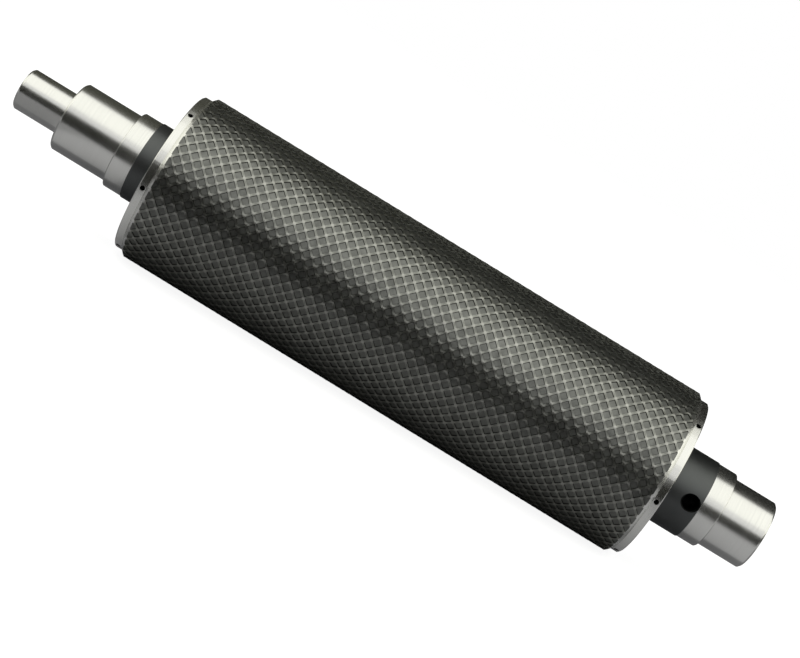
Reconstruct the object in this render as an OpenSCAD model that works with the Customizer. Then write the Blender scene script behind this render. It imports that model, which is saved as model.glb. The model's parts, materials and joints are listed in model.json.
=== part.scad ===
// Anilox roller: a knurled steel tube carried on two turned journals.
// The roller lies along X with its short drive end at -X, and Z points up.
// The origin is on the roller's axis at half of its overall length.
// All sizes are in millimetres and degrees.

/* [Knurled face] */
// Diameter over the ridges of the knurl
face_d = 86; // [85:1:110]
// Length of the knurled face between the feet of its end chamfers
face_len = 267; // [120:1:275]
// Number of ridges of each hand round the face
knurl_starts = 39; // [24:1:39]
// Angle between the ridges and the roller's axis
knurl_angle = 44; // [35:1:50]
// Depth of the cells between the ridges
knurl_depth = 0.6; // [0.4:0.1:1.6]

/* [Tube] */
// Diameter of the ground band at each end of the tube
band_d = 81.4; // [72:0.2:83]
// Width of each ground band
band_w = 3.8; // [3.4:0.1:12]
// Wall of the tube under each band
tube_wall = 8.7; // [5:0.1:14]
// Chamfer on the outer edge of each band
band_chamfer = 0.4; // [0.2:0.1:0.6]

/* [Journal heads] */
// Length of each journal's head inside the tube
head_len = 24; // [10:1:60]
// Gap all round between a head and the bore
head_clearance = 0.03; // [0.01:0.01:0.1]
// Chamfer on the outer rim of each head
head_rim_chamfer = 0.5; // [0.2:0.1:1]
// Lead-in chamfer on the inner edge of each head
head_lead_chamfer = 2; // [0.5:0.5:4]

/* [Journals] */
// Diameter of the bearing seats
seat_d = 35; // [26:1:50]
// Length of the left bearing seat
left_seat_len = 30.1; // [14:0.1:60]
// Length of the right bearing seat
right_seat_len = 22.9; // [14:0.1:60]
// Height of the ground shoulder over the bearing seat
shoulder_step = 2.1; // [1.2:0.1:5]
// Length of the ground shoulders
shoulder_len = 10; // [4:0.1:30]
// Height of the blackened neck over the ground shoulder
neck_step = 0.4; // [0.1:0.1:2]
// Length of the left neck
left_neck_len = 10.2; // [4:0.1:60]
// Length of the right neck
right_neck_len = 19.3; // [12:0.1:60]
// Diameter of the drive end
drive_d = 21; // [14:0.5:32]
// Length of the drive end
drive_len = 25; // [12:1:80]
// Chamfer on the outer edge of each shoulder
shoulder_chamfer = 0.5; // [0.2:0.1:1]
// Chamfer on the outer edge of each seat
seat_chamfer = 1; // [0.3:0.1:1.2]
// Chamfer on the outer edge of the drive end
drive_chamfer = 1; // [0.3:0.1:3]

/* [Holes] */
// Diameter of the radial pin hole in the right neck
pin_hole_d = 8; // [3:0.5:9]
// Depth of the pin hole to the foot of its drill point
pin_hole_depth = 14; // [6:1:16]
// Distance of the pin hole from the outer end of the neck
pin_hole_from_shoulder = 4.8; // [4.8:0.1:9]
// Countersink round the mouth of the pin hole
pin_hole_chamfer = 0.4; // [0.2:0.1:0.7]
// Mouth diameter of the centre hole in each end
centre_d = 6.3; // [4:0.1:10]
// Pilot diameter of each centre hole
centre_pilot_d = 2.5; // [1:0.1:3.15]
// Depth of the pilot beyond the cone of each centre hole
centre_pilot_depth = 3.5; // [1:0.5:10]

/* [Set screws] */
// Number of set screws round each end
screw_count = 6; // [3:1:12]
// Thread diameter of the set screws
screw_d = 2.5; // [2:0.1:2.8]
// Depth of the screw heads below the band
screw_sink = 1.5; // [0.5:0.1:3]
// Depth of the screw tips in the head
screw_bite = 0.8; // [0.4:0.1:3]
// Angle of the first screw below the front of the roller
screw_phase = 6.5; // [0:0.5:60]
// Gap all round between a screw and its hole
screw_clearance = 0.05; // [0.02:0.01:0.1]
// Width across the flats of the hexagon sockets
socket_af = 1.3; // [0.9:0.1:1.5]
// Depth of the hexagon sockets
socket_depth = 1.5; // [0.8:0.1:3]

/* [Hidden] */

$fn = 96;
steel = [0.80, 0.79, 0.75];
black_steel = [0.20, 0.20, 0.19];
screw_black = [0.13, 0.13, 0.13];

face_r = face_d / 2;
band_r = band_d / 2;
bore_r = band_r - tube_wall;
head_r = bore_r - head_clearance;
seat_r = seat_d / 2;
shoulder_r = seat_r + shoulder_step;
neck_r = shoulder_r + neck_step;
drive_r = drive_d / 2;

// Cuts run this far past the surfaces that they open
cut_over = 1;
// The blank stays this far below the floor of the cells
blank_under = 0.2;
blank_r = face_r - knurl_depth - blank_under;

// Stations along the axis, from the drive end to the right end
tube_len = face_len + 2 * band_w;
overall_len = drive_len + left_seat_len + 2 * shoulder_len + left_neck_len
    + tube_len + right_neck_len + right_seat_len;
x_drive_end = -overall_len / 2;
x_left_seat = x_drive_end + drive_len;
x_left_shoulder = x_left_seat + left_seat_len;
x_left_neck = x_left_shoulder + shoulder_len;
x_tube_left = x_left_neck + left_neck_len;
x_tube_right = x_tube_left + tube_len;
x_right_shoulder = x_tube_right + right_neck_len;
x_right_seat = x_right_shoulder + shoulder_len;
x_right_end = x_right_seat + right_seat_len;
x_face_mid = (x_tube_left + x_tube_right) / 2;

// The end chamfers of the face rise at 45 degrees from the bands to the ridges
ridge_half_len = face_len / 2 - (face_r - band_r);
foot_half_len = ridge_half_len + knurl_depth;
blank_half_len = ridge_half_len + face_r - blank_r;

// Columns lie half a ridge spacing apart round the face, and rows along it
knurl_cols = 2 * knurl_starts;
col_width = PI * face_d / knurl_cols;
knurl_rows = round(2 * ridge_half_len * tan(knurl_angle) / col_width);
last_ring = knurl_rows + 2;

// The screws sit in the middle of each band's cylindrical part
screw_from_end = (band_w + band_chamfer) / 2;
screw_top_r = band_r - screw_sink;
screw_tip_r = bore_r - screw_bite;
drill_point_angle = 118;

// Axial station of one ring of the knurl's corners
function ring_x(ring) =
    ring == 0 ? x_face_mid - foot_half_len
    : ring == last_ring ? x_face_mid + foot_half_len
    : x_face_mid - ridge_half_len + (ring - 1) * 2 * ridge_half_len / knurl_rows;

// Ridges cross at every other corner, and the cells are deepest between them
function is_crossing(col, ring) = (col + ring) % 2 == 0;

function corner_r(col, ring) =
    ring > 0 && ring < last_ring && is_crossing(col, ring) ? face_r : face_r - knurl_depth;

function corner(col, ring) =
    let (turn = col * 360 / knurl_cols)
    [ring_x(ring), corner_r(col, ring) * cos(turn), corner_r(col, ring) * sin(turn)];

function corner_index(col, ring) = ring * knurl_cols + col % knurl_cols;

// Two triangles between neighbouring corners, split along the ridge
function patch(col, ring) =
    let (
        a = corner_index(col, ring),
        b = corner_index(col + 1, ring),
        c = corner_index(col + 1, ring + 1),
        d = corner_index(col, ring + 1)
    )
    is_crossing(col, ring) ? [[a, d, c], [a, c, b]] : [[a, d, b], [d, c, b]];

// A full turned shape along X from its outline of [radius, station] points
module turned(outline) {
    rotate([0, 90, 0])
        rotate_extrude()
            polygon(outline);
}

// Places children at each screw of one end, with Z pointing outwards
module at_screws(station) {
    for (i = [0 : screw_count - 1])
        translate([station, 0, 0])
            rotate([90 + screw_phase + i * 360 / screw_count, 0, 0])
                children();
}

// Crossed helical ridges round diamond cells
module knurl() {
    corners = [for (ring = [0 : last_ring]) for (col = [0 : knurl_cols - 1]) corner(col, ring)];
    patches = [
        for (ring = [0 : last_ring - 1])
            for (col = [0 : knurl_cols - 1])
                each patch(col, ring)
    ];
    left_cap = [for (col = [0 : knurl_cols - 1]) corner_index(col, 0)];
    right_cap = [for (col = [knurl_cols - 1 : -1 : 0]) corner_index(col, last_ring)];
    polyhedron(points = corners, faces = concat(patches, [left_cap, right_cap]));
}

// The tube before knurling, with its bands and end chamfers
module tube_blank() {
    turned([
        [0, x_tube_left],
        [band_r - band_chamfer, x_tube_left],
        [band_r, x_tube_left + band_chamfer],
        [band_r, x_tube_left + band_w],
        [blank_r, x_face_mid - blank_half_len],
        [blank_r, x_face_mid + blank_half_len],
        [band_r, x_tube_right - band_w],
        [band_r, x_tube_right - band_chamfer],
        [band_r - band_chamfer, x_tube_right],
        [0, x_tube_right]
    ]);
}

// Threaded holes through one band
module screw_holes(station) {
    at_screws(station)
        translate([0, 0, bore_r - cut_over])
            cylinder(d = screw_d, h = band_r - bore_r + 2 * cut_over);
}

// Blind seats for the screw tips in one head
module screw_seats(station) {
    at_screws(station)
        translate([0, 0, screw_tip_r - screw_clearance])
            cylinder(d = screw_d, h = screw_bite + cut_over);
}

// Centre hole in a shaft end, with its cone opening towards -X or +X
module centre_hole(station, outward) {
    cone_len = (centre_d - centre_pilot_d) / 2 / tan(30);
    hole_len = cone_len + centre_pilot_depth;
    translate([station, 0, 0])
        mirror([outward < 0 ? 1 : 0, 0, 0])
            turned([
                [0, -hole_len],
                [centre_pilot_d / 2, -hole_len],
                [centre_pilot_d / 2, -cone_len],
                [centre_d / 2, 0],
                [centre_d / 2, cut_over],
                [0, cut_over]
            ]);
}

// Blind pin hole in the front of the right neck, with a drill point at its end
module pin_hole() {
    r = pin_hole_d / 2;
    floor_r = neck_r - pin_hole_depth;
    point_len = r / tan(drill_point_angle / 2);
    mouth_r = neck_r * cos(asin(r / neck_r));
    translate([x_right_shoulder - pin_hole_from_shoulder, 0, 0])
        rotate([90, 0, 0])
            rotate_extrude()
                polygon([
                    [0, floor_r - point_len],
                    [r, floor_r],
                    [r, mouth_r - pin_hole_chamfer],
                    [r + pin_hole_chamfer + cut_over, mouth_r + cut_over],
                    [r + pin_hole_chamfer + cut_over, neck_r + cut_over],
                    [0, neck_r + cut_over]
                ]);
}

// Socket set screws round one end
module set_screws(station) {
    at_screws(station)
        difference() {
            translate([0, 0, screw_tip_r])
                cylinder(r = screw_d / 2 - screw_clearance, h = screw_top_r - screw_tip_r);
            translate([0, 0, screw_top_r - socket_depth])
                cylinder(d = socket_af / cos(30), h = socket_depth + cut_over, $fn = 6);
        }
}

module roller_tube() {
    color(black_steel)
        difference() {
            union() {
                tube_blank();
                knurl();
            }
            translate([x_tube_left - cut_over, 0, 0])
                rotate([0, 90, 0])
                    cylinder(r = bore_r, h = tube_len + 2 * cut_over);
            screw_holes(x_tube_left + screw_from_end);
            screw_holes(x_tube_right - screw_from_end);
        }
}

module left_journal() {
    color(steel)
        difference() {
            turned([
                [0, x_drive_end],
                [drive_r - drive_chamfer, x_drive_end],
                [drive_r, x_drive_end + drive_chamfer],
                [drive_r, x_left_seat],
                [seat_r - seat_chamfer, x_left_seat],
                [seat_r, x_left_seat + seat_chamfer],
                [seat_r, x_left_shoulder],
                [shoulder_r - shoulder_chamfer, x_left_shoulder],
                [shoulder_r, x_left_shoulder + shoulder_chamfer],
                [shoulder_r, x_left_neck],
                [neck_r, x_left_neck],
                [neck_r, x_tube_left],
                [head_r - head_rim_chamfer, x_tube_left],
                [head_r, x_tube_left + head_rim_chamfer],
                [head_r, x_tube_left + head_len - head_lead_chamfer],
                [head_r - head_lead_chamfer, x_tube_left + head_len],
                [0, x_tube_left + head_len]
            ]);
            centre_hole(x_drive_end, -1);
            screw_seats(x_tube_left + screw_from_end);
        }
}

module right_journal() {
    color(steel)
        difference() {
            turned([
                [0, x_tube_right - head_len],
                [head_r - head_lead_chamfer, x_tube_right - head_len],
                [head_r, x_tube_right - head_len + head_lead_chamfer],
                [head_r, x_tube_right - head_rim_chamfer],
                [head_r - head_rim_chamfer, x_tube_right],
                [neck_r, x_tube_right],
                [neck_r, x_right_shoulder],
                [shoulder_r, x_right_shoulder],
                [shoulder_r, x_right_seat - shoulder_chamfer],
                [shoulder_r - shoulder_chamfer, x_right_seat],
                [seat_r, x_right_seat],
                [seat_r, x_right_end - seat_chamfer],
                [seat_r - seat_chamfer, x_right_end],
                [0, x_right_end]
            ]);
            centre_hole(x_right_end, 1);
            pin_hole();
            screw_seats(x_tube_right - screw_from_end);
        }
}

module left_set_screws() {
    color(screw_black)
        set_screws(x_tube_left + screw_from_end);
}

module right_set_screws() {
    color(screw_black)
        set_screws(x_tube_right - screw_from_end);
}

roller_tube();
left_journal();
right_journal();
left_set_screws();
right_set_screws();
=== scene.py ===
# %% [markdown]
# # An anilox roller
#
# An anilox roller carries a measured film of ink or glue to the next roller. This one is a steel
# tube with crossed ridges cut all over it, blackened, and held on two turned journals. Only the
# parts that run in something are ground bright: the two end bands, the shoulders, the bearing
# seats and the drive end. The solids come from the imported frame, and this lesson dresses them.

# %% Load the frame
import json
import math

import bmesh
import bpy
import numpy as np
from mathutils import Matrix, Quaternion, Vector


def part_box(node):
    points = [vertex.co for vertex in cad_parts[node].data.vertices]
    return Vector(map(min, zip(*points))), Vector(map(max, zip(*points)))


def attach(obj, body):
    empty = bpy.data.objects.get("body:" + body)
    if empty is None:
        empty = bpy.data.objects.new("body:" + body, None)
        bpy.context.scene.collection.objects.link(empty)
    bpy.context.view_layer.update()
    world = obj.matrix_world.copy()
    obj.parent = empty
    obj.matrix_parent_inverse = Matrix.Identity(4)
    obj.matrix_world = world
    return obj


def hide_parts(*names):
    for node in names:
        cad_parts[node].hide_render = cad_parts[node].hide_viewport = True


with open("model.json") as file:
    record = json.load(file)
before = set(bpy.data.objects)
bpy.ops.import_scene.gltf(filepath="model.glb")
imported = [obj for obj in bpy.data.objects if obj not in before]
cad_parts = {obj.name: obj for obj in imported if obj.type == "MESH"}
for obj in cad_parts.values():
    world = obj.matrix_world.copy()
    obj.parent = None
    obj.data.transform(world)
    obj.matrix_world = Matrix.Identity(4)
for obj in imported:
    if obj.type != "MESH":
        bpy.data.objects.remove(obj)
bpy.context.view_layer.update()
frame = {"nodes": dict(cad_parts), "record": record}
print("nodes:", sorted(frame["nodes"]))

# %% [markdown]
# ## Sizes
#
# Everything that the frame can tell is read from it: the boxes of the nodes give the lengths and
# the outside diameter, and the record's mounts give the bearing seats and the drive end.
# The few steps and chamfers that neither of them holds are named here in millimetres.

# %% Read the sizes of the roller
MM = 0.001

mounts = {mount["name"]: mount for mount in frame["record"]["mounts"]}
tube_low, tube_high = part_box("roller_tube")
left_low, left_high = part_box("left_journal")
_, right_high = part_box("right_journal")

x_tube_left = tube_low[0]
x_tube_right = tube_high[0]
x_face_mid = (x_tube_left + x_tube_right) / 2
face_r = (tube_high[1] - tube_low[1]) / 2
seat_r = mounts["left_bearing_seat"]["dims"]["r_mm"] * MM
drive_r = mounts["drive_end"]["dims"]["r_mm"] * MM
head_r = (left_high[1] - left_low[1]) / 2

band_r = 81.4 / 2 * MM
band_width = 3.8 * MM
bore_r = 64 / 2 * MM
shoulder_r = seat_r + 2.1 * MM
neck_r = shoulder_r + 0.4 * MM
shoulder_length = 10.0 * MM
print(f"face {2000 * face_r:.1f} mm across, tube {1000 * (x_tube_right - x_tube_left):.1f} mm long")

# %% [markdown]
# ## The camera
#
# The photograph looks square at the roller's side from a little above, with a long lens, and the
# picture is turned so that the roller falls to the right. The camera could be aimed by a
# constraint, but a matrix built from three directions shows the turn plainly: right, up and
# backwards are written in terms of the roller's axis and the tilt of the view.

# %% Place the camera
IMAGE_SIZE = (800, 658)
SENSOR_WIDTH = 36.0
VIEW_ELEVATION = math.radians(9.0)
PICTURE_TURN = math.radians(31.435)
PIXEL_SIZE = 0.4684 * MM
FOCAL_PIXELS = 2000
AIM_ALONG = 8.0 * MM
AIM_BELOW = 4.5 * MM

axis = Vector((1, 0, 0))
forward = Vector((0, math.cos(VIEW_ELEVATION), -math.sin(VIEW_ELEVATION)))
above = Vector((0, math.sin(VIEW_ELEVATION), math.cos(VIEW_ELEVATION)))
picture_right = axis * math.cos(PICTURE_TURN) + above * math.sin(PICTURE_TURN)
picture_up = above * math.cos(PICTURE_TURN) - axis * math.sin(PICTURE_TURN)

camera = bpy.data.objects.new("camera", bpy.data.cameras.new("camera"))
bpy.context.scene.collection.objects.link(camera)
camera.data.sensor_width = SENSOR_WIDTH
camera.data.lens = SENSOR_WIDTH * FOCAL_PIXELS / IMAGE_SIZE[0]
view_distance = FOCAL_PIXELS * PIXEL_SIZE
aim = axis * AIM_ALONG - above * AIM_BELOW
turn_matrix = Matrix((picture_right, picture_up, -forward)).transposed().to_4x4()
camera.matrix_world = Matrix.Translation(aim - forward * view_distance) @ turn_matrix
bpy.context.scene.camera = camera
print(f"camera {view_distance:.3f} m away, lens {camera.data.lens:.1f} mm")

# %% [markdown]
# ## Helpers for materials
#
# Colours are picked as sRGB hex values, because that is what an eye-dropper shows, and Blender
# works with linear light, so one function converts them. Another adds a node, sets its values
# and links its inputs in one call, which keeps each material readable from top to bottom.

# %% Helpers for materials


def linear(hex_colour):
    """Turns an sRGB hex colour into linear RGBA."""
    parts = [int(hex_colour[i:i + 2], 16) / 255 for i in (1, 3, 5)]
    return [p / 12.92 if p <= 0.04045 else ((p + 0.055) / 1.055) ** 2.4 for p in parts] + [1.0]


def add_node(tree, kind, settings=None, **inputs):
    """Adds a node, sets its properties, and fills or links its inputs by name or by number."""
    node = tree.nodes.new(kind)
    for name, value in (settings or {}).items():
        setattr(node, name, value)
    for name, value in inputs.items():
        socket = node.inputs[int(name[1:])] if name[0] == "_" else node.inputs[name.replace("_", " ")]
        if isinstance(value, bpy.types.NodeSocket):
            tree.links.new(value, socket)
        else:
            socket.default_value = value
    return node


def new_material(name):
    """Makes an empty node material with its Principled shader wired to the output."""
    material = bpy.data.materials.new(name)
    material.use_nodes = True
    tree = material.node_tree
    tree.nodes.clear()
    shader = tree.nodes.new("ShaderNodeBsdfPrincipled")
    output = tree.nodes.new("ShaderNodeOutputMaterial")
    tree.links.new(shader.outputs[0], output.inputs["Surface"])
    return material, tree, shader


print("white is", linear("#ffffff"))

# %% [markdown]
# ## Ground steel
#
# The seats, shoulders, bands and drive end are carbon steel finished on a cylindrical grinder.
# The wheel leaves fine rings round the axis, so the surface is a bright, slightly warm mirror
# with a soft edge to its reflections. Real grinding rings are a few hundredths of a millimetre
# apart, too fine for this picture, so they are drawn 0.7 mm apart and very faint.

# %% Ground steel
GRIND_RING_SPACING = 0.7 * MM
GRIND_RING_HEIGHT = 0.02 * MM
RING_WANDER = 1000 / 12 * MM
HANDLING_PATCH_SIZE = 14 * MM


def ring_pattern(tree, spacing):
    """Noise that changes along the roller's axis and hardly at all round it."""
    place = add_node(tree, "ShaderNodeTexCoord").outputs["Object"]
    stretch = add_node(tree, "ShaderNodeMapping", Vector=place,
                       Scale=(1 / spacing, 1 / RING_WANDER, 1 / RING_WANDER))
    return add_node(tree, "ShaderNodeTexNoise", Vector=stretch.outputs[0], Scale=1.0, Detail=2.0)


def ground_steel_material():
    """Bright steel with faint grinding rings, a little duller in patches from handling."""
    material, tree, shader = new_material("ground_carbon_steel")
    rings = ring_pattern(tree, GRIND_RING_SPACING)
    place = add_node(tree, "ShaderNodeTexCoord").outputs["Object"]
    patches = add_node(tree, "ShaderNodeTexNoise", Vector=place,
                       Scale=1 / HANDLING_PATCH_SIZE, Detail=3.0)
    tint = add_node(tree, "ShaderNodeMix", {"data_type": "RGBA"}, _0=rings.outputs[0],
                    _6=linear("#cecec9"), _7=linear("#dbdbd6"))
    gloss = add_node(tree, "ShaderNodeMapRange", Value=patches.outputs[0],
                     From_Min=0.3, From_Max=0.7, To_Min=0.21, To_Max=0.27)
    relief = add_node(tree, "ShaderNodeBump", Height=rings.outputs[0],
                      Strength=0.05, Distance=GRIND_RING_HEIGHT)
    tree.links.new(tint.outputs[2], shader.inputs["Base Color"])
    tree.links.new(gloss.outputs[0], shader.inputs["Roughness"])
    tree.links.new(relief.outputs[0], shader.inputs["Normal"])
    shader.inputs["Metallic"].default_value = 1.0
    return material


ground_steel = ground_steel_material()
print("made", ground_steel.name)

# %% [markdown]
# ## Black oxide on turned steel
#
# The necks and the end faces were turned, then blackened in a hot salt bath. The bath grows a
# thin dark magnetite skin that still shines like metal, only much darker, with a blue-grey cast
# in its highlights. The turning tool's feed marks stay visible under it as faint rings.

# %% Black oxide on turned steel
FEED_MARK_SPACING = 0.9 * MM
FEED_MARK_HEIGHT = 0.03 * MM
OXIDE_CLOUD_SIZE = 9 * MM


def black_oxide_material():
    """A dark skin that still shines, clouded by the bath, with feed marks under it."""
    material, tree, shader = new_material("black_oxide_turned_steel")
    rings = ring_pattern(tree, FEED_MARK_SPACING)
    place = add_node(tree, "ShaderNodeTexCoord").outputs["Object"]
    clouds = add_node(tree, "ShaderNodeTexNoise", Vector=place,
                      Scale=1 / OXIDE_CLOUD_SIZE, Detail=4.0)
    tint = add_node(tree, "ShaderNodeMix", {"data_type": "RGBA"}, _0=clouds.outputs[0],
                    _6=linear("#525453"), _7=linear("#5e605f"))
    gloss = add_node(tree, "ShaderNodeMapRange", Value=clouds.outputs[0], To_Min=0.38, To_Max=0.50)
    relief = add_node(tree, "ShaderNodeBump", Height=rings.outputs[0],
                      Strength=0.12, Distance=FEED_MARK_HEIGHT)
    tree.links.new(tint.outputs[2], shader.inputs["Base Color"])
    tree.links.new(gloss.outputs[0], shader.inputs["Roughness"])
    tree.links.new(relief.outputs[0], shader.inputs["Normal"])
    shader.inputs["Metallic"].default_value = 1.0
    return material


black_oxide = black_oxide_material()
print("made", black_oxide.name)

# %% [markdown]
# ## Black oxide on the knurl
#
# The knurl has the same bath, but its ridges rub against the next roller and against hands, so
# the skin on top is thinner and more metal shines through, most of all where two ridges cross.
# The steep walls are painted darkest, a painted shade for the shadow down in the cells, and the
# floors of the cells lie between. The finish follows the height of the surface over the axis,
# which the shader works out from the position, so the ridges are lighter from every side. Seen
# edge on, oxide brightens less than bare metal does, and the shader's tint for that angle says so.

# %% Black oxide on the knurl
KNURL_DEPTH = 0.5 * MM
WEAR_PATCH_SIZE = 5 * MM
CELL_FLOOR_SHADE = "#6e6f6b"
# Painted shade: the walls are coloured darker than the floors, for the shadow inside the cells.
PAINTED_WALL_SHADE = "#3a3b38"
RIDGE_SHADE = "#858680"
CROSSING_SHADE = "#9c9c96"
EDGE_ON_SHADE = "#b0b0ac"


def knurl_material():
    """Black oxide by height: floors, walls in painted shade, then the rubbed ridges and crossings."""
    material, tree, shader = new_material("black_oxide_knurled_steel")
    place = add_node(tree, "ShaderNodeTexCoord").outputs["Object"]
    across = add_node(tree, "ShaderNodeVectorMath", {"operation": "MULTIPLY"}, _0=place, _1=(0, 1, 1))
    height = add_node(tree, "ShaderNodeVectorMath", {"operation": "LENGTH"}, _0=across.outputs[0])
    level = add_node(tree, "ShaderNodeMapRange", Value=height.outputs["Value"],
                     From_Min=face_r - KNURL_DEPTH, From_Max=face_r)
    skin = add_node(tree, "ShaderNodeValToRGB", Fac=level.outputs[0])
    stops = skin.color_ramp.elements
    stops[0].position = 0.06
    stops[0].color = linear(CELL_FLOOR_SHADE)
    stops[1].position = 1.0
    stops[1].color = linear(CROSSING_SHADE)
    # The stops at 0.12 and 0.80 paint the walls dark, a painted shade.
    for height_share, shade in ((0.12, PAINTED_WALL_SHADE), (0.80, PAINTED_WALL_SHADE), (0.88, RIDGE_SHADE)):
        stops.new(height_share).color = linear(shade)
    patches = add_node(tree, "ShaderNodeTexNoise", Vector=place,
                       Scale=1 / WEAR_PATCH_SIZE, Detail=3.0)
    strength = add_node(tree, "ShaderNodeMapRange", Value=patches.outputs[0],
                        From_Min=0.3, From_Max=0.7, To_Min=0.76, To_Max=1.18)
    tint = add_node(tree, "ShaderNodeVectorMath", {"operation": "SCALE"},
                    _0=skin.outputs[0], Scale=strength.outputs[0])
    gloss = add_node(tree, "ShaderNodeMapRange", Value=level.outputs[0], To_Min=0.42, To_Max=0.32)
    tree.links.new(tint.outputs[0], shader.inputs["Base Color"])
    tree.links.new(gloss.outputs[0], shader.inputs["Roughness"])
    shader.inputs["Metallic"].default_value = 1.0
    shader.inputs["Specular Tint"].default_value = linear(EDGE_ON_SHADE)
    return material


knurl_black = knurl_material()
print("made", knurl_black.name)

# %% [markdown]
# ## The knurled tube
#
# The face of the tube carries two families of helical ridges that cross at right angles and
# leave square cells standing on their points. A bump texture would look right only from afar,
# so the ridges are real geometry. The trick is to lay the mesh along the ridges: every vertex
# sits where a line of one hand crosses a line of the other, four lines to a ridge spacing (two
# edges of the ridge, two edges of the cell's floor). A vertex goes down to the floor only where
# both of its lines are floor lines, and the ridges dip a little between two crossings. The walls
# are steep, so each cell hides its own far wall in shade and shows a dark notch in one corner.

# %% Lay out the knurl
STARTS = 45
CELLS_ALONG = 44
RIDGE_SHARE = 0.25
WALL_SHARE = 0.04
SADDLE_DROP = 0.10
LINES = 4

ridge_edge = RIDGE_SHARE / 2
floor_edge = ridge_edge + WALL_SHARE
line_places = np.array([ridge_edge, floor_edge, 1 - floor_edge, 1 - ridge_edge])
line_is_floor = np.array([False, True, True, False])
ring_size = LINES * STARTS
row_reach = LINES * CELLS_ALONG
ridge_half_length = (x_tube_right - x_tube_left) / 2 - band_width - (face_r - band_r)


def knurl_lattice():
    """Gives the turn, station and radius of every lattice vertex, one row per diagonal offset."""
    offsets = np.arange(-row_reach, row_reach + 1)
    offset, second = np.meshgrid(offsets, np.arange(ring_size), indexing="ij")
    first = offset + second
    right_hand = first // LINES + line_places[first % LINES]
    left_hand = second // LINES + line_places[second % LINES]
    turn = math.pi * (right_hand + left_hand) / STARTS
    station = x_face_mid + ridge_half_length * (right_hand - left_hand) / CELLS_ALONG
    low_first = line_is_floor[first % LINES]
    low_second = line_is_floor[second % LINES]
    deep = low_first & low_second
    drop = np.where(deep, 1.0, SADDLE_DROP * (low_first | low_second))
    return turn, station, face_r - KNURL_DEPTH * drop, deep


turn, station, radius, deep = knurl_lattice()
spacing = 2 * math.pi * face_r / STARTS / math.sqrt(2)
print(f"{STARTS} ridges of each hand, {1000 * spacing:.2f} mm apart, {turn.size} vertices")

# %% [markdown]
# The ends of the tube are turned: a chamfer cuts through the knurl at 45 degrees, then comes the
# ground band, its edge, the end face and the bore. They are added as rings on the same turns as
# the last row of the knurl, so the whole tube is one closed skin with no seam to hide.

# %% Build the tube's skin
CHAMFER_START = 0.05 * MM
BAND_EDGE = 0.4 * MM
BORE_EDGE = 0.5 * MM
BAND_ROWS = 5
BLACK, GROUND, KNURLED = 0, 1, 2

half_tube = (x_tube_right - x_tube_left) / 2


def end_rings(edge_radius):
    """Rings from the knurl's edge to the bore as (distance from mid-face, radius, finish) each."""
    rings = [(ridge_half_length + CHAMFER_START + face_r - edge_radius, edge_radius, KNURLED)]
    foot = half_tube - band_width
    for row in range(BAND_ROWS + 1):
        rings.append((foot + (band_width - BAND_EDGE) * row / BAND_ROWS, band_r, GROUND))
    rings.append((half_tube, band_r - BAND_EDGE, GROUND))
    rings.append((half_tube, bore_r + BORE_EDGE, BLACK))
    rings.append((half_tube - BORE_EDGE, bore_r, BLACK))
    return rings


def lattice_faces():
    """Quads along the ridges, split where only one corner is deep, and a triangle at each end."""
    def vertex(offset, second):
        """The number of a lattice vertex, counted on past a full turn."""
        return (offset + row_reach) * ring_size + second % ring_size

    flat_deep = deep.ravel()
    faces = []
    for offset in range(-row_reach, row_reach + 1):
        for second in range(ring_size):
            a = vertex(offset, second)
            c = vertex(offset, second + 1)
            if offset == row_reach:
                faces.append((a, vertex(offset - 1, second + 1), c))
                continue
            b = vertex(offset + 1, second)
            if offset == -row_reach:
                faces.append((a, c, b))
                continue
            d = vertex(offset - 1, second + 1)
            if flat_deep[[a, b, c, d]].sum() != 1:
                faces.append((a, d, c, b))
            elif flat_deep[a] or flat_deep[c]:
                faces += [(a, d, c), (a, c, b)]
            else:
                faces += [(a, d, b), (d, c, b)]
    return faces


def tube_mesh():
    """Joins the knurl, both ends and the bore into one closed mesh."""
    def points(turns, stations, radii):
        """Places on circles round the roller's axis."""
        places = np.broadcast_arrays(stations, radii * np.cos(turns), radii * np.sin(turns))
        return np.stack(places, -1)

    blocks = [points(turn, station, radius).reshape(-1, 3)]
    faces = lattice_faces()
    finishes = [KNURLED] * len(faces)
    last_rings = []
    for side, row in ((1, -1), (-1, 0)):
        edge = (turn.shape[0] - 1 if row else 0) * ring_size
        ring_start = turn.size + (0 if side > 0 else len(end_rings(face_r)) * ring_size)
        for reach, ring_radius, finish in end_rings(radius[row]):
            block = points(turn[row], x_face_mid + side * reach, ring_radius * np.ones(ring_size))
            blocks.append(block)
            for i in range(ring_size):
                j = (i + 1) % ring_size
                quad = (edge + i, edge + j, ring_start + j, ring_start + i)
                faces.append(quad if side > 0 else quad[::-1])
                finishes.append(finish)
            edge = ring_start
            ring_start += ring_size
        last_rings.append(edge)
    shift = 2 * row_reach
    right, left = last_rings
    for i in range(ring_size):
        j = (i + 1) % ring_size
        at = (i + shift) % ring_size
        to = (j + shift) % ring_size
        faces.append((right + i, right + j, left + to, left + at))
        finishes.append(BLACK)
    mesh = bpy.data.meshes.new("knurled_tube")
    mesh.from_pydata(np.concatenate(blocks).tolist(), [], faces)
    mesh.polygons.foreach_set("material_index", finishes)
    return mesh


def new_piece(name, mesh, *materials):
    """Puts a mesh into the scene with its materials in slot order."""
    for material in materials:
        mesh.materials.append(material)
    piece = bpy.data.objects.new(name, mesh)
    bpy.context.scene.collection.objects.link(piece)
    return piece


knurled_tube = new_piece("knurled_tube", tube_mesh(), black_oxide, ground_steel, knurl_black)
print("tube:", len(knurled_tube.data.polygons), "faces,", knurled_tube.data.validate(), "repairs")

# %% [markdown]
# ## Drilling
#
# Each band has six small radial holes, threaded for the set screws that hold the journal. A
# boolean is the plain way to drill: one mesh with all the drills in it is taken away from the
# tube at once. Shading then stays smooth on the round surfaces and sharp at the edges.

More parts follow.
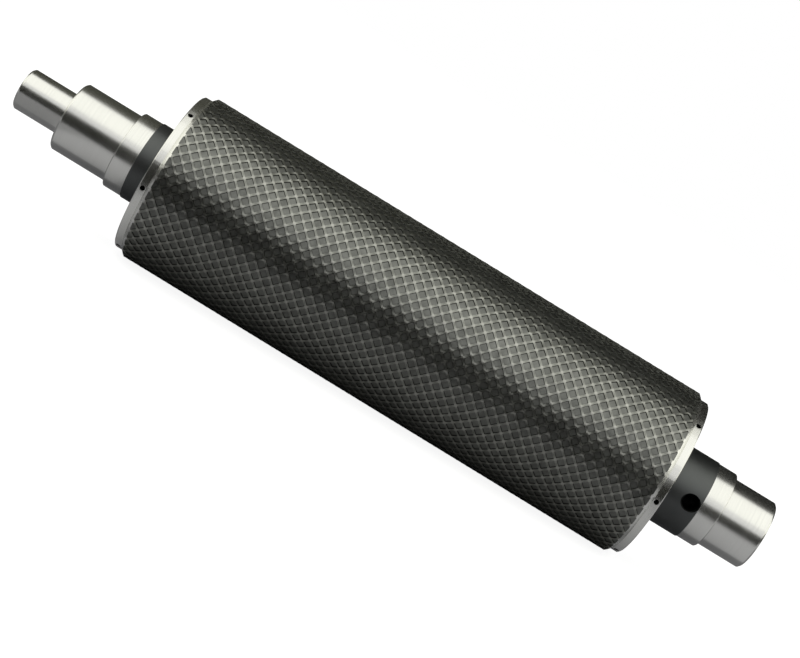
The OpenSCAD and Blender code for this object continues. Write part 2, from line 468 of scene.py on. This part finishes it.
# %% Drill the screw holes
SCREWS = 6
SCREW_HOLE_R = 1.25 * MM
SCREW_PHASE = math.radians(6.5)
DRILL_SIDES = 32
DRILL_OVERRUN = 3 * MM
SHARP_ANGLE = math.radians(38)


def drill(piece, cutter):
    """Takes the cutter away from the piece for good, and removes the cutter."""
    modifier = piece.modifiers.new("drill", "BOOLEAN")
    modifier.object = cutter
    modifier.operation = "DIFFERENCE"
    modifier.solver = "MANIFOLD"
    graph = bpy.context.evaluated_depsgraph_get()
    drilled = bpy.data.meshes.new_from_object(piece.evaluated_get(graph))
    piece.modifiers.clear()
    piece.data = drilled
    bpy.data.objects.remove(cutter)


def smooth(piece):
    """Smooth shading, with edges sharper than the limit left crisp."""
    piece.data.shade_smooth()
    piece.data.set_sharp_from_angle(angle=SHARP_ANGLE)


def screw_drills():
    """One mesh of all the drills, each lying along its screw's radius."""
    drills = bmesh.new()
    middle = (bore_r + band_r) / 2
    length = band_r - bore_r + 2 * DRILL_OVERRUN
    inset = (band_width + BAND_EDGE) / 2
    for screw_x in (x_tube_left + inset, x_tube_right - inset):
        for i in range(SCREWS):
            swing = Matrix.Rotation(math.pi / 2 + SCREW_PHASE + i * 2 * math.pi / SCREWS, 4, "X")
            place = Matrix.Translation((screw_x, 0, 0)) @ swing @ Matrix.Translation((0, 0, middle))
            bmesh.ops.create_cone(
                drills, cap_ends=True, segments=DRILL_SIDES, radius1=SCREW_HOLE_R,
                radius2=SCREW_HOLE_R, depth=length, matrix=place,
            )
    mesh = bpy.data.meshes.new("screw_drills")
    drills.to_mesh(mesh)
    drills.free()
    return new_piece("screw_drills", mesh, black_oxide)


drill(knurled_tube, screw_drills())
smooth(knurled_tube)
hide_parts("roller_tube")
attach(knurled_tube, "root")
print("drilled tube:", len(knurled_tube.data.polygons), "faces")

# %% [markdown]
# ## The journals
#
# Each journal was turned from one bar: a head that fits inside the tube, a blackened neck, and
# then the ground steps. A turned piece is an outline spun round its axis, so a short helper does
# what a lathe does. It first eases every corner of the outline by a small radius, because no
# real edge is perfectly sharp and the eye finds an edge by the thin line of light on it.

# %% A lathe
LATHE_SIDES = 160
CORNER_POINTS = 3
EASE_SHARE = 0.4


def eased(outline, ease):
    """Rounds the inner corners of an outline of (station, radius, finish of the stretch ahead)."""
    result = [outline[0]]
    for before, here, after in zip(outline, outline[1:], outline[2:]):
        corner = Vector(here[:2])
        back = Vector(before[:2]) - corner
        ahead = Vector(after[:2]) - corner
        reach = min(ease, EASE_SHARE * back.length, EASE_SHARE * ahead.length)
        start = corner + back.normalized() * reach
        end = corner + ahead.normalized() * reach
        for step in range(CORNER_POINTS + 1):
            t = step / CORNER_POINTS
            point = start * (1 - t) ** 2 + corner * 2 * t * (1 - t) + end * t ** 2
            result.append((point.x, point.y, before[2] if t < 0.5 else here[2]))
    return result + [outline[-1]]


def turned_mesh(name, outline):
    """Spins an outline that starts and ends on the axis into a closed mesh."""
    vertices = [(outline[0][0], 0, 0)]
    for place, ring_radius, _ in outline[1:-1]:
        for i in range(LATHE_SIDES):
            swing = 2 * math.pi * i / LATHE_SIDES
            vertices.append((place, ring_radius * math.cos(swing), ring_radius * math.sin(swing)))
    vertices.append((outline[-1][0], 0, 0))
    faces = []
    finishes = []
    for ring in range(len(outline) - 1):
        near = 1 + (ring - 1) * LATHE_SIDES
        far = near + LATHE_SIDES
        for i in range(LATHE_SIDES):
            j = (i + 1) % LATHE_SIDES
            if ring == 0:
                faces.append((0, far + j, far + i))
            elif ring == len(outline) - 2:
                faces.append((near + i, near + j, len(vertices) - 1))
            else:
                faces.append((near + i, near + j, far + j, far + i))
            finishes.append(outline[ring][2])
    mesh = bpy.data.meshes.new(name)
    mesh.from_pydata(vertices, [], faces)
    mesh.polygons.foreach_set("material_index", finishes)
    return mesh


print("lathe ready,", LATHE_SIDES, "sides")

# %% [markdown]
# The outlines run from the drive side to the pin-hole side. Both ends carry a centre hole, the
# cone that the grinder's centres ran in. The right neck is cut into short stretches, so that the
# hole drilled into it later only disturbs small faces and the round surface stays smooth.

# %% Turn the journals
EDGE_EASE = 0.18 * MM
HEAD_LENGTH = left_high[0] - x_tube_left
HEAD_RIM = 0.5 * MM
HEAD_LEAD = 2.0 * MM
SHOULDER_EDGE = 0.5 * MM
SEAT_EDGE = 1.0 * MM
DRIVE_EDGE = 1.0 * MM
LEFT_NECK = 10.2 * MM
RIGHT_NECK = 19.3 * MM
DRIVE_LENGTH = 25.0 * MM
CENTRE_R = 6.3 / 2 * MM
PILOT_R = 2.5 / 2 * MM
PILOT_DEPTH = 3.5 * MM
CENTRE_ANGLE = math.radians(60)
NECK_ROWS = 18

cone_length = (CENTRE_R - PILOT_R) / math.tan(CENTRE_ANGLE / 2)


def centre_hole(end, outward):
    """The outline of a centre hole, from the axis out to its mouth."""
    return [
        (end - outward * (cone_length + PILOT_DEPTH), 0, GROUND),
        (end - outward * (cone_length + PILOT_DEPTH), PILOT_R, GROUND),
        (end - outward * cone_length, PILOT_R, GROUND),
        (end, CENTRE_R, GROUND),
    ]


def stretches(start, end, ring_radius, finish, count):
    """A straight length of outline in equal short stretches."""
    return [(start + (end - start) * i / count, ring_radius, finish) for i in range(count + 1)]


def left_outline():
    """The left journal, from its drive end to the head in the tube."""
    end = left_low[0]
    seat = end + DRIVE_LENGTH
    neck = x_tube_left - LEFT_NECK
    shoulder = neck - shoulder_length
    turned = eased([
        (end, CENTRE_R, GROUND),
        (end, drive_r - DRIVE_EDGE, GROUND),
        (end + DRIVE_EDGE, drive_r, GROUND),
        (seat, drive_r, GROUND),
        (seat, seat_r - SEAT_EDGE, GROUND),
        (seat + SEAT_EDGE, seat_r, GROUND),
        (shoulder, seat_r, GROUND),
        (shoulder, shoulder_r - SHOULDER_EDGE, GROUND),
        (shoulder + SHOULDER_EDGE, shoulder_r, GROUND),
        (neck, shoulder_r, BLACK),
        (neck, neck_r, BLACK),
        (x_tube_left, neck_r, BLACK),
        (x_tube_left, head_r - HEAD_RIM, BLACK),
        (x_tube_left + HEAD_RIM, head_r, BLACK),
        (x_tube_left + HEAD_LENGTH - HEAD_LEAD, head_r, BLACK),
        (x_tube_left + HEAD_LENGTH, head_r - HEAD_LEAD, BLACK),
        (x_tube_left + HEAD_LENGTH, 0, BLACK),
    ], EDGE_EASE)
    return centre_hole(end, -1)[:-1] + turned


def right_outline():
    """The right journal, from the head in the tube to its bearing seat."""
    end = right_high[0]
    shoulder = x_tube_right + RIGHT_NECK
    seat = shoulder + shoulder_length
    head = eased([
        (x_tube_right - HEAD_LENGTH, 0, BLACK),
        (x_tube_right - HEAD_LENGTH, head_r - HEAD_LEAD, BLACK),
        (x_tube_right - HEAD_LENGTH + HEAD_LEAD, head_r, BLACK),
        (x_tube_right - HEAD_RIM, head_r, BLACK),
        (x_tube_right, head_r - HEAD_RIM, BLACK),
        (x_tube_right, neck_r, BLACK),
        (x_tube_right + HEAD_RIM, neck_r, BLACK),
    ], EDGE_EASE)
    neck = stretches(x_tube_right + 2 * HEAD_RIM, shoulder - 2 * HEAD_RIM, neck_r, BLACK, NECK_ROWS)
    steps = eased([
        (shoulder - HEAD_RIM, neck_r, BLACK),
        (shoulder, neck_r, BLACK),
        (shoulder, shoulder_r, GROUND),
        (seat - SHOULDER_EDGE, shoulder_r, GROUND),
        (seat, shoulder_r - SHOULDER_EDGE, GROUND),
        (seat, seat_r, GROUND),
        (end - SEAT_EDGE, seat_r, GROUND),
        (end, seat_r - SEAT_EDGE, GROUND),
        (end, CENTRE_R, GROUND),
    ], EDGE_EASE)
    return head + neck + steps + centre_hole(end, 1)[-2::-1]


left_journal = new_piece("left_journal_turned", turned_mesh("left_journal_turned", left_outline()),
                         black_oxide, ground_steel)
right_journal = new_piece("right_journal_turned", turned_mesh("right_journal_turned", right_outline()),
                          black_oxide, ground_steel)
print("journals:", len(left_journal.data.polygons), len(right_journal.data.polygons), "faces")

# %% [markdown]
# The pin hole is drilled into the front of the right neck. Its drill is turned on the same lathe
# idea, with a point at its foot and a small countersink at its mouth, and laid where the record
# has the mount for the pin. A drilled wall is rough, so it is almost matt, and it is coloured
# nearly black, a painted shade for the inside of the hole. The boolean takes the finish of the
# wall over from the drill by its slot number.

# %% Drill the pin hole
PIN_HOLE_DEPTH = 14.0 * MM
PIN_SINK = 0.4 * MM
PIN_DRILL_OVERRUN = 2 * MM
DRILL_POINT = math.radians(118)
DRILL_SCORE_SIZE = 0.4 * MM
DRILLED = 2


def deep_black_material(name, grain_size, shades, roughness):
    """Black oxide at its darkest, with a fine grain between two shades."""
    material, tree, shader = new_material(name)
    place = add_node(tree, "ShaderNodeTexCoord").outputs["Object"]
    grain = add_node(tree, "ShaderNodeTexNoise", Vector=place, Scale=1 / grain_size, Detail=2.0)
    tint = add_node(tree, "ShaderNodeMix", {"data_type": "RGBA"}, _0=grain.outputs[0],
                    _6=linear(shades[0]), _7=linear(shades[1]))
    tree.links.new(tint.outputs[2], shader.inputs["Base Color"])
    shader.inputs["Metallic"].default_value = 1.0
    shader.inputs["Roughness"].default_value = roughness
    return material


# Painted shade: the drilled wall is coloured nearly black for the inside of the hole.
drilled_painted_shade = deep_black_material("drilled_steel_painted_shade", DRILL_SCORE_SIZE,
                                    shades=("#191a19", "#262726"), roughness=0.6)

pin_hole_r = mounts["pin_hole"]["dims"]["r_mm"] * MM
pin_hole_x = mounts["pin_hole"]["pos_m"][0]


def pin_drill():
    """A drill with a point and a countersink, standing on the roller's axis and pointing forwards."""
    mouth = neck_r * math.cos(math.asin(pin_hole_r / neck_r)) - PIN_SINK
    foot = neck_r - PIN_HOLE_DEPTH
    top = neck_r + PIN_DRILL_OVERRUN
    top_r = pin_hole_r + PIN_DRILL_OVERRUN
    outline = [
        (foot - pin_hole_r / math.tan(DRILL_POINT / 2), 0, DRILLED),
        (foot, pin_hole_r, DRILLED),
        (mouth, pin_hole_r, DRILLED),
        (mouth + PIN_DRILL_OVERRUN, top_r, DRILLED),
        (top, top_r, DRILLED),
        (top, 0, DRILLED),
    ]
    mesh = turned_mesh("pin_drill", outline)
    mesh.transform(Matrix.Translation((pin_hole_x, 0, 0)) @ Matrix.Rotation(-math.pi / 2, 4, "Z"))
    return new_piece("pin_drill", mesh, black_oxide, ground_steel, drilled_painted_shade)


right_journal.data.materials.append(drilled_painted_shade)
drill(right_journal, pin_drill())
for piece, node in ((left_journal, "left_journal"), (right_journal, "right_journal")):
    smooth(piece)
    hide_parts(node)
    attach(piece, "root")
print("right journal after drilling:", len(right_journal.data.polygons), "faces")

# %% [markdown]
# ## Set screws
#
# The set screws are bought parts with a deep black oxide from their heat treatment, sunk below
# the bands. Their solids already have the hexagon sockets, so they stay and only get a finish.

# %% Finish the set screws
SCREW_GRAIN_SIZE = 0.6 * MM

screw_black = deep_black_material("black_oxide_alloy_screws", SCREW_GRAIN_SIZE,
                                  shades=("#1d1d1d", "#2b2b2a"), roughness=0.45)
for node in ("left_set_screws", "right_set_screws"):
    for slot in frame["nodes"][node].material_slots:
        slot.material = screw_black
print("screws finished in", screw_black.name)

# %% [markdown]
# ## The studio
#
# Polished cylinders show the room more than themselves. The photograph's room can be read from
# the bright steps: a wide soft light from the front to just past overhead, a pale table below,
# and dark strips at the front horizon and behind. A photographer makes such strips with cards,
# called flags, which stay out of the picture. First come the floor, which is white paper, and the
# helpers for the cards.

# %% Floor and helpers for the cards
FLOOR_SIZE = 8.0
FLOOR_GLOW = 0.9
PAPER_ROUGHNESS = 0.9


def background_rays(tree):
    """One for rays from the camera, from a reflection or through glass, and nought for the rest."""
    rays = add_node(tree, "ShaderNodeLightPath").outputs
    seen = add_node(tree, "ShaderNodeMath", {"operation": "MAXIMUM"},
                    _0=rays["Is Camera Ray"], _1=rays["Is Glossy Ray"])
    return add_node(tree, "ShaderNodeMath", {"operation": "MAXIMUM"},
                    _0=seen.outputs[0], _1=rays["Is Transmission Ray"]).outputs[0]


def floor_material():
    """Pale paper that glows a little where it is seen, so that it is white where no shadow falls."""
    material, tree, shader = new_material("pale_paper_floor")
    seen = background_rays(tree)
    paper = add_node(tree, "ShaderNodeMix", {"data_type": "RGBA"}, _0=seen,
                     _6=linear("#f1f1fa"), _7=linear("#b5b5b5"))
    glow = add_node(tree, "ShaderNodeMath", {"operation": "MULTIPLY"}, _0=seen, _1=FLOOR_GLOW)
    tree.links.new(paper.outputs[2], shader.inputs["Base Color"])
    tree.links.new(glow.outputs[0], shader.inputs["Emission Strength"])
    shader.inputs["Emission Color"].default_value = linear("#ffffff")
    shader.inputs["Roughness"].default_value = PAPER_ROUGHNESS
    shader.inputs["Specular IOR Level"].default_value = 0.0
    return material


def card_material(name, shade, glow=0.0):
    """Matt card of one grey, which may have a lamp of its own."""
    material, _, shader = new_material(name)
    shader.inputs["Base Color"].default_value = linear(shade)
    shader.inputs["Emission Color"].default_value = linear("#ffffee")
    shader.inputs["Emission Strength"].default_value = glow
    shader.inputs["Roughness"].default_value = PAPER_ROUGHNESS
    return material


def card(name, corners, material):
    """One flat four-cornered card, put into the scene with its material."""
    mesh = bpy.data.meshes.new(name)
    mesh.from_pydata(corners, [], [(0, 1, 2, 3)])
    piece = new_piece(name, mesh, material)
    return piece


def flag(name, corners, material):
    """A card that is seen only in reflections."""
    piece = card(name, corners, material)
    piece.visible_camera = False
    piece.visible_diffuse = False
    piece.visible_shadow = False


def lying(x_span, y_span, z):
    """The corners of a card that lies flat."""
    return [(x_span[0], y_span[0], z), (x_span[1], y_span[0], z),
            (x_span[1], y_span[1], z), (x_span[0], y_span[1], z)]


def standing(left, right):
    """The corners of a card on the floor, from (x, foot's y, top's y, top's z) of each end."""
    return [(left[0], left[1], floor_z), (right[0], right[1], floor_z),
            (right[0], right[2], right[3]), (left[0], left[2], left[3])]


def end_on(x, y_span, z_span):
    """The corners of a card that stands square to the roller's axis."""
    return [(x, y_span[0], z_span[0]), (x, y_span[1], z_span[0]),
            (x, y_span[1], z_span[1]), (x, y_span[0], z_span[1])]


floor_z = -face_r
floor_span = (-FLOOR_SIZE / 2, FLOOR_SIZE / 2)
card("floor", lying(floor_span, floor_span, floor_z), floor_material())
print("floor at", round(1000 * floor_z, 1), "mm")

# %% [markdown]
# The black flags make the dark parts of the reflections. The one in front gives the stripe along
# the roller, and it is higher on the left, where the photograph's stripe is wider. The two behind
# and the one overhead give the dark top edge. The two beyond the ends carry the stripe on into the
# chamfers.

# %% Black flags
FLAG_TOP = 1.3
BACK_FOOT = 0.28
TOP_FLAG_BACK = 0.17
END_FLAG_SPAN = (-0.2, 0.3)
END_FLAG_TOP = 0.023
END_FLAGS = {"left_flag": -0.45, "right_flag": 0.47}

black_card = card_material("black_card", "#35352e")
brown_card = card_material("brown_black_card", "#56564c")
deep_card = card_material("deep_black_card", "#191915")

front_left = (-0.8, -0.112, -0.112, 0.062)
front_right = (0.8, -0.148, -0.148, 0.007)
back_left = (-0.6, BACK_FOOT, 0.33, FLAG_TOP)
back_middle = (0, BACK_FOOT, 0.165, FLAG_TOP)
back_right = (0.6, BACK_FOOT, 0.13, FLAG_TOP)
top_corners = [(-0.26, -0.12), (0.30, -0.22), (0.30, TOP_FLAG_BACK), (-0.26, TOP_FLAG_BACK)]

flag("front_flag", standing(front_left, front_right), black_card)
flag("back_flag_left", standing(back_left, back_middle), brown_card)
flag("back_flag_right", standing(back_middle, back_right), deep_card)
flag("top_flag", [(x, y, FLAG_TOP) for x, y in top_corners], black_card)
for name, x in END_FLAGS.items():
    flag(name, end_on(x, END_FLAG_SPAN, (floor_z, END_FLAG_TOP)), black_card)
print("black flags up to", FLAG_TOP, "m")

# %% [markdown]
# The chamfers beside the bands look along the axis, past the soft light. A white card with a lamp
# of its own stands beyond each end, so that the chamfers come out as bright as the bands.

# %% Lit cards
LIT_CARD_GLOW = 1.0
LIT_CARD_Y = (-0.15, 0.40)
LIT_CARD_Z = (0.025, 0.45)
LIT_CARDS = {"left_lit_card": -0.62, "right_lit_card": 0.64}

lit_card = card_material("lit_white_card", "#f1f1fa", LIT_CARD_GLOW)
for name, x in LIT_CARDS.items():
    flag(name, end_on(x, LIT_CARD_Y, LIT_CARD_Z), lit_card)
print("lit cards at", list(LIT_CARDS.values()), "m")

# %% [markdown]
# The lower half of the roller shows the table, which is much dimmer in the photograph than the
# light above. A white card without a glow covers the table round the roller, and grey ones on it
# tone its reflection down further: under the knurled face, under the necks, under the drive end
# and behind.

# %% Cards on the table
CARD_LIFT = 0.1 * MM
CARD_FRONT = -0.110
CARD_BACK = -0.007
TABLE_CARD_X = (-0.5, 0.5)
TABLE_CARD_Y = (-0.15, 0.28)
UNDER_CARD_X = (-0.35, 0.35)
UNDER_CARD_BACK = 0.25

table_card = card_material("white_card", "#f1f1fa")
pale_card = card_material("pale_grey_card", "#d3d3d9")
mid_card = card_material("middle_grey_card", "#bcbcc3")
grey_card = card_material("grey_card", "#a6a6ad")

face_span = (x_tube_left + band_width, x_tube_right - band_width)
left_neck_span = (x_tube_left - 21 * MM, x_tube_left - 10 * MM)
right_neck_span = (x_tube_right + 9 * MM, x_tube_right + 26 * MM)
drive_span = (-0.5, -0.190)
front_span = (CARD_FRONT, CARD_BACK)
card_z = floor_z + CARD_LIFT

flag("table_card", lying(TABLE_CARD_X, TABLE_CARD_Y, floor_z + CARD_LIFT / 2), table_card)
flag("under_card", lying(UNDER_CARD_X, (CARD_BACK, UNDER_CARD_BACK), card_z), grey_card)
flag("face_card", lying(face_span, front_span, card_z), pale_card)
flag("left_neck_card", lying(left_neck_span, front_span, card_z), mid_card)
flag("right_neck_card", lying(right_neck_span, front_span, card_z), mid_card)
flag("drive_card", lying(drive_span, front_span, card_z), mid_card)
print(f"face card {1000 * (face_span[1] - face_span[0]):.1f} mm long")

# %% [markdown]
# One large softbox hangs over the front, turned a little against the roller, because the
# photograph's highlights drift across it from end to end. The world fills the room with light: it
# is white where it is seen, directly or in a reflection, and dimmer where it only gives light, so
# that the floor keeps a soft shadow.

# %% Softbox and world
SOFTBOX_SIZE = (2.6, 0.9)
SOFTBOX_DISTANCE = 0.75
SOFTBOX_ELEVATION = math.radians(66)
SOFTBOX_ROLL = math.radians(-6)
SOFTBOX_RADIANCE = 0.425
ROOM_LEVEL = 0.38

softbox_data = bpy.data.lights.new("softbox", "AREA")
softbox_data.shape = "RECTANGLE"
softbox_data.size, softbox_data.size_y = SOFTBOX_SIZE
softbox_data.energy = SOFTBOX_RADIANCE * math.pi * SOFTBOX_SIZE[0] * SOFTBOX_SIZE[1]
softbox_data.color = linear("#ffffee")[:3]
softbox = bpy.data.objects.new("softbox", softbox_data)
bpy.context.scene.collection.objects.link(softbox)
towards = Vector((0, -math.cos(SOFTBOX_ELEVATION), math.sin(SOFTBOX_ELEVATION)))
softbox.location = towards * SOFTBOX_DISTANCE
facing = towards.to_track_quat("Z", "Y") @ Quaternion((0, 0, 1), SOFTBOX_ROLL)
softbox.rotation_euler = facing.to_euler()

world = bpy.data.worlds.new("studio")
bpy.context.scene.world = world
world.use_nodes = True
world_tree = world.node_tree
world_tree.nodes.clear()
level = add_node(world_tree, "ShaderNodeMapRange", Value=background_rays(world_tree),
                 To_Min=ROOM_LEVEL, To_Max=1.0)
sky = add_node(world_tree, "ShaderNodeBackground", Color=linear("#ffffff"), Strength=level.outputs[0])
add_node(world_tree, "ShaderNodeOutputWorld", Surface=sky.outputs[0])
bpy.context.scene.view_settings.view_transform = "Standard"
print("softbox", SOFTBOX_SIZE, "m, room level", ROOM_LEVEL)
